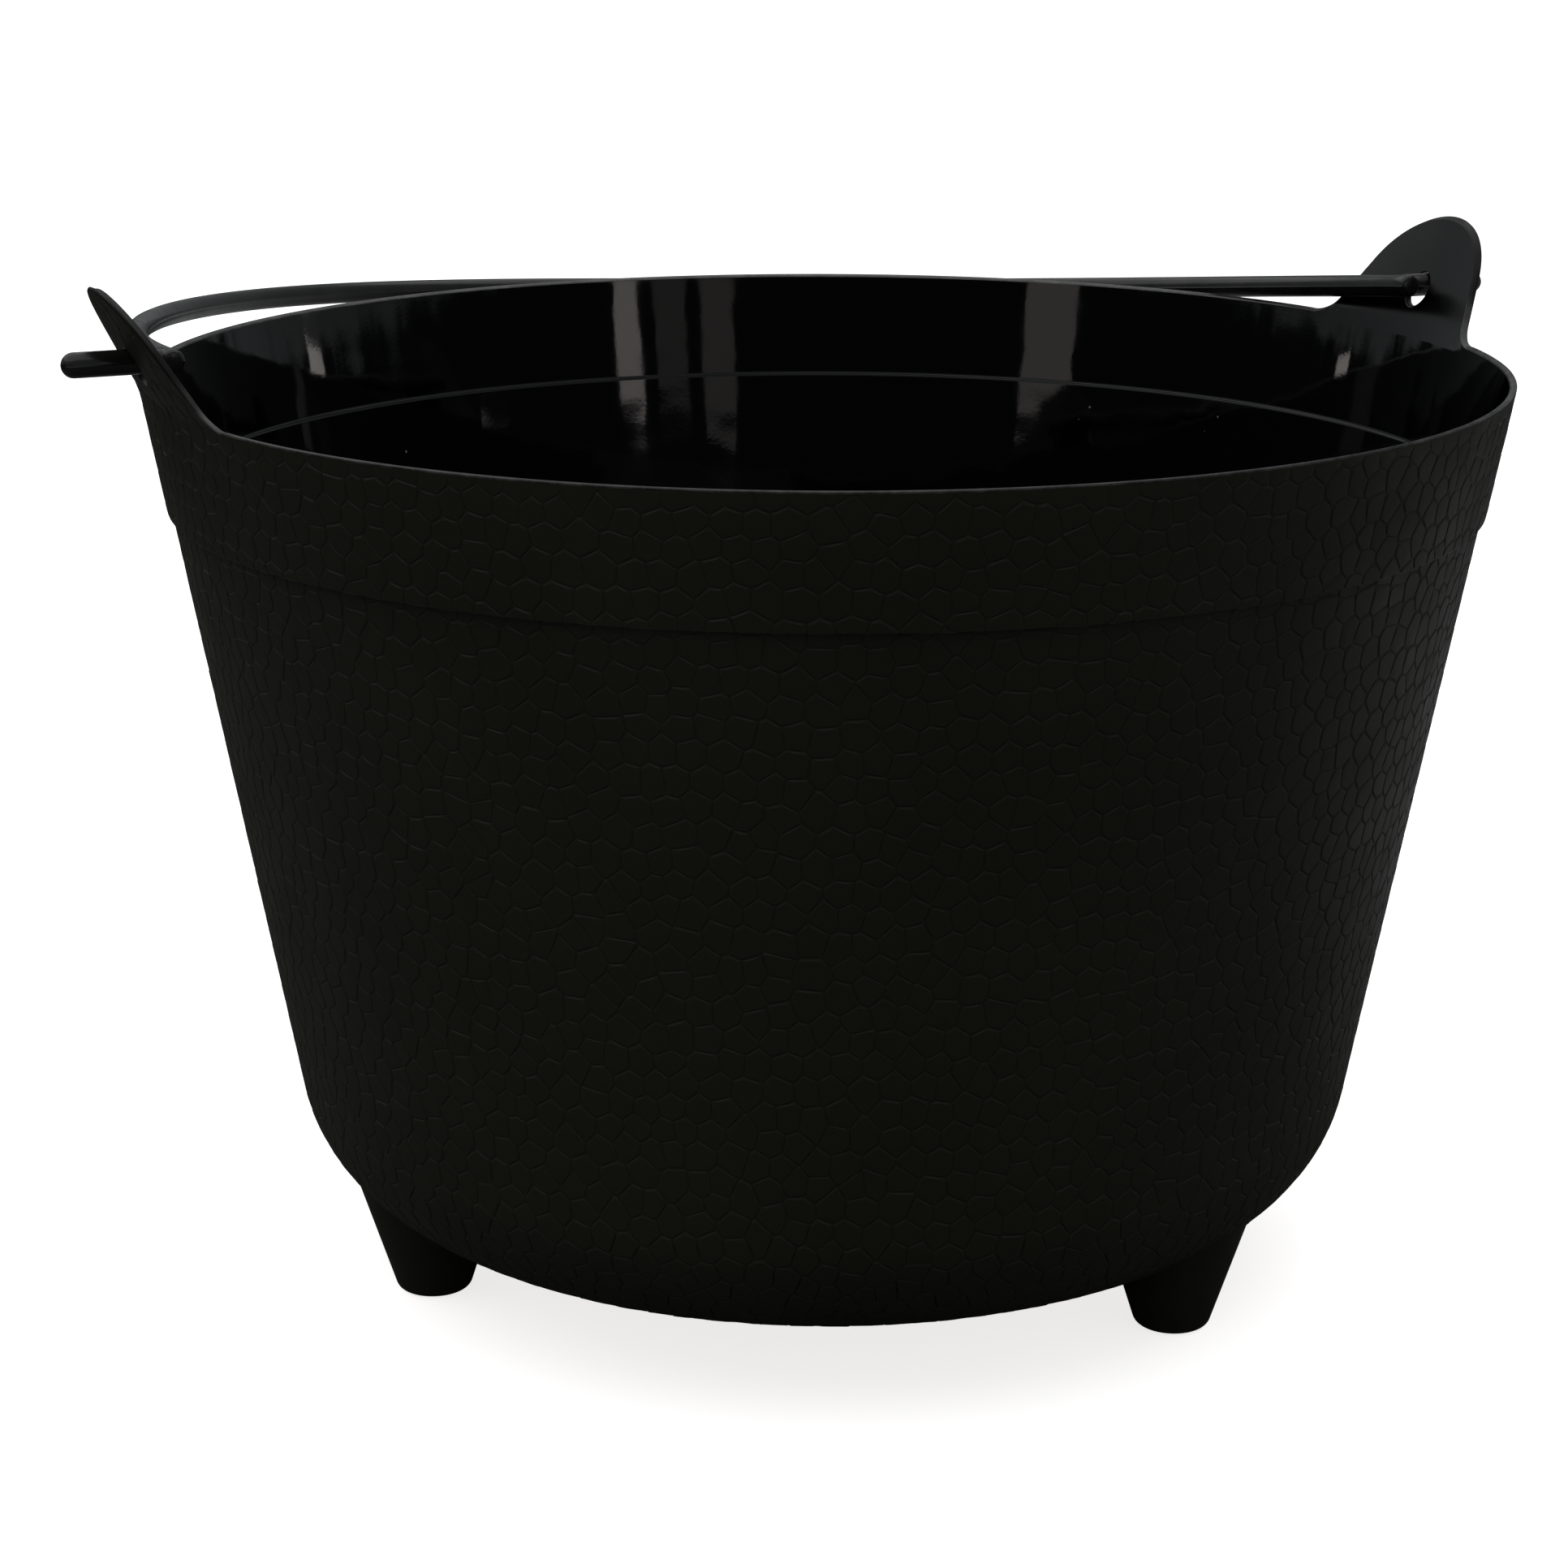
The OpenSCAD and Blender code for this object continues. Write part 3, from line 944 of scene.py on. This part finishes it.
def foot_plastic():
    """Smooth satin black plastic, scuffed paler near the floor."""
    n = Nodes(bpy.data.materials.new("foot_smooth"))
    low = n.spread(n.height(), 0.0, 5 * MM, 1, 0)
    scuff = n.math("MULTIPLY", low, n.spread(n.noise(260, 6, 0.7), 0.5, 0.65, 0, 1))
    n.set(Base_Color=n.mix_colour(scuff, OUTSIDE_BLACK, SCUFF),
          Roughness=n.spread(n.noise(110, 5), 0.3, 0.7, 0.36, 0.5),
          Specular_IOR_Level=0.25,
          Normal=n.bump(n.noise(1400, 3), 0.012 * MM))
    return n.owner


# ---------------------------------------------------------------- the studio
CAMERA_AZIMUTH = math.radians(23.85)   # the camera stands this far left of the front
CAMERA_DISTANCE = 0.9673               # from the bucket's axis
CAMERA_RISE = 0.1510                   # above the rim
CAMERA_PAN = math.radians(-0.65)
CAMERA_PITCH = math.radians(-15.41)
CAMERA_ROLL = math.radians(0.11)
CAMERA_LENS = 84.26

FLOOR_GLOW = 0.80
FLOOR_PALE = math.radians(30)          # light comes back off the floor mostly from this side
FLOOR_GREYS = (0.13, 0.50)             # how pale it is away from that side and on it
FLOOR_REACH = (0.6, 1.1)               # it darkens again over this span, in metres
FILL_STRENGTH = 0.3                    # even light that reaches matte surfaces only
KEY_STRENGTH = 1.1
KEY_SPREAD = math.radians(100)
KEY_LEAN = (math.radians(-12), math.radians(-8), 0)
SKY_STRENGTH = 0.20
SKYLINE_STRENGTH = 0.02
SKYLINE_PEAK = math.radians(-115)      # the skyline is highest in this direction
SKYLINE_RISE = math.sin(math.radians(8.0))
SKYLINE_SWING = math.sin(math.radians(9.2))

WINDOW_DISTANCE = 20.0
# Name, azimuth, lowest and highest elevation, width (degrees) and brightness
WINDOWS = [
    ("front", -75.5, 10.1, 17, 4.5, 1.5),
    ("front_dim", -84, 10.7, 17, 6, 0.22),
    ("front_pale", -93, 10.4, 17, 6, 0.32),
    ("left", -157, 9.9, 17, 10, 0.62),
    ("right", -6.5, 0.5, 4.9, 3.5, 1.9),
    ("right_low", -46.5, 4, 7.8, 6, 0.45),
    ("right_back", 22, -1, 0.6, 3, 1.2),
    ("back_left", 137.5, 0.5, 4.6, 3, 1.8),
    ("back", 111, -1, 0.6, 3, 1.0),
]


def make_camera():
    """The photograph's viewpoint: left of the front and a little above the rim."""
    heading = CAMERA_AZIMUTH + CAMERA_PAN
    forward = Vector((math.sin(heading) * math.cos(CAMERA_PITCH),
                      math.cos(heading) * math.cos(CAMERA_PITCH), math.sin(CAMERA_PITCH)))
    data = bpy.data.cameras.new("camera")
    data.sensor_width, data.lens = 36, CAMERA_LENS
    data.clip_start, data.clip_end = 0.01, 200
    camera = bpy.data.objects.new("camera", data)
    bpy.context.scene.collection.objects.link(camera)
    camera.location = (-CAMERA_DISTANCE * math.sin(CAMERA_AZIMUTH),
                       -CAMERA_DISTANCE * math.cos(CAMERA_AZIMUTH), RIM_Z + CAMERA_RISE)
    turn = forward.to_track_quat("-Z", "Y").to_matrix() @ Matrix.Rotation(CAMERA_ROLL, 3, "Z")
    camera.rotation_euler = turn.to_euler()
    bpy.context.scene.camera = camera


def by_ray(n, kind, chosen, others):
    """One shader for rays of one kind, such as Is Camera Ray, and another for the rest."""
    mix = n.add("ShaderNodeMixShader")
    n.link(n.add("ShaderNodeLightPath").outputs[kind], mix.inputs["Fac"])
    n.link(others, mix.inputs[1])
    n.link(chosen, mix.inputs[2])
    return mix.outputs["Shader"]


def make_floor():
    """A white floor that takes a soft shadow.

    The bucket sees it darker than the camera does: dark in front, paler at the right and
    behind, so that the wall lightens towards its sides.
    """
    bpy.ops.mesh.primitive_plane_add(size=120, location=(0, 0, -0.1 * MM))
    floor = bpy.context.object
    floor.name = "studio_floor"
    n = Nodes(bpy.data.materials.new("floor_white"))
    n.set(Base_Color=(0.9, 0.88, 0.87, 1), Roughness=0.9, Specular_IOR_Level=0.0,
          Emission_Color=(1, 0.985, 0.98, 1), Emission_Strength=FLOOR_GLOW)
    dark = n.add("ShaderNodeBsdfDiffuse")
    behind = n.add("ShaderNodeVectorMath", operation="DOT_PRODUCT")
    n.link(n.place, behind.inputs[0])
    behind.inputs[1].default_value = (math.cos(FLOOR_PALE), math.sin(FLOOR_PALE), 0)
    reach = n.add("ShaderNodeVectorMath", operation="LENGTH")
    n.link(n.place, reach.inputs[0])
    grey = n.math("MULTIPLY", n.spread(behind.outputs["Value"], 0.12, 0.55, *FLOOR_GREYS),
                  n.spread(reach.outputs["Value"], *FLOOR_REACH, 1, 0.15))
    n.link(grey, dark.inputs["Color"])
    look = by_ray(n, "Is Camera Ray", n.shader.outputs["BSDF"], dark.outputs["BSDF"])
    n.link(look, n.tree.nodes["Material Output"].inputs["Surface"])
    floor.data.materials.append(n.owner)


def background(n, strength, colour=(0.93, 0.97, 1)):
    """A world shader whose strength is a number or a node output."""
    node = n.add("ShaderNodeBackground")
    node.inputs["Color"].default_value = (*colour, 1)
    if isinstance(strength, bpy.types.NodeSocket):
        n.link(strength, node.inputs["Strength"])
    else:
        node.inputs["Strength"].default_value = strength
    return node.outputs["Background"]


def make_sky():
    """A dull sky over a dark, ragged skyline that is highest in front of the bucket."""
    world = bpy.data.worlds.new("studio")
    bpy.context.scene.world = world
    n = Nodes(world, "Generated")
    towards = n.add("ShaderNodeVectorMath", operation="DOT_PRODUCT")
    n.link(n.place, towards.inputs[0])
    towards.inputs[1].default_value = (SKYLINE_SWING * math.cos(SKYLINE_PEAK),
                                       SKYLINE_SWING * math.sin(SKYLINE_PEAK), -1)
    ragged = n.spread(n.noise(14, 4, 0.55), 0.3, 0.7, -0.014, 0.014)
    over = n.math("ADD", towards.outputs["Value"], ragged)
    sky = n.spread(over, -SKYLINE_RISE, 0.012 - SKYLINE_RISE, SKY_STRENGTH, SKYLINE_STRENGTH)
    others = by_ray(n, "Is Diffuse Ray", background(n, FILL_STRENGTH), background(n, sky))
    look = by_ray(n, "Is Camera Ray", background(n, 1.0, (1, 1, 1)), others)
    n.link(look, n.tree.nodes["World Output"].inputs["Surface"])


def make_key():
    """Soft light from overhead, the same everywhere on the floor."""
    data = bpy.data.lights.new("overhead", "SUN")
    data.energy, data.angle = KEY_STRENGTH, KEY_SPREAD
    light = bpy.data.objects.new("overhead", data)
    bpy.context.scene.collection.objects.link(light)
    light.rotation_euler = KEY_LEAN


def make_window(name, azimuth, low, high, width, brightness):
    """A bright upright panel, seen from the bucket between two elevations, in degrees."""
    turn, rise = math.radians(azimuth), math.radians((low + high) / 2)
    tall = 2 * WINDOW_DISTANCE * math.tan(math.radians((high - low) / 2))
    wide = 2 * WINDOW_DISTANCE * math.tan(math.radians(width / 2))
    data = bpy.data.lights.new("window_" + name, "AREA")
    data.shape, data.size, data.size_y = "RECTANGLE", wide, tall
    data.energy = brightness * math.pi * wide * tall
    data.color = (1, 0.93, 0.90)
    light = bpy.data.objects.new("window_" + name, data)
    bpy.context.scene.collection.objects.link(light)
    away = Vector((math.cos(turn) * math.cos(rise), math.sin(turn) * math.cos(rise),
                   math.sin(rise)))
    light.location = Vector((0, 0, RIM_Z)) + WINDOW_DISTANCE * away
    light.rotation_euler = away.to_track_quat("Z", "Y").to_euler()
    light.visible_camera = False


def make_studio():
    make_floor()
    make_sky()
    make_key()
    for window in WINDOWS:
        make_window(*window)
    scene = bpy.context.scene
    scene.view_settings.view_transform = "Standard"
    scene.view_settings.look = "None"


# ---------------------------------------------------------------- putting it together
def stand_for(piece, node, body):
    """Puts a visual piece in the place of a CAD node, on the body that carries it."""
    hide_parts(node)
    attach(piece, body)


make_camera()
make_studio()
shell = make_shell([outside_plastic(), inside_plastic(), edge_plastic()])
stand_for(shell, "shell", "bucket")
stand_for(make_bail(bail_plastic()), "bail", "handle")
foot_material = foot_plastic()
for node, degrees in FOOT_AZIMUTHS.items():
    foot = make_foot("moulded_" + node, math.radians(degrees), foot_material)
    stand_for(foot, node, "bucket")
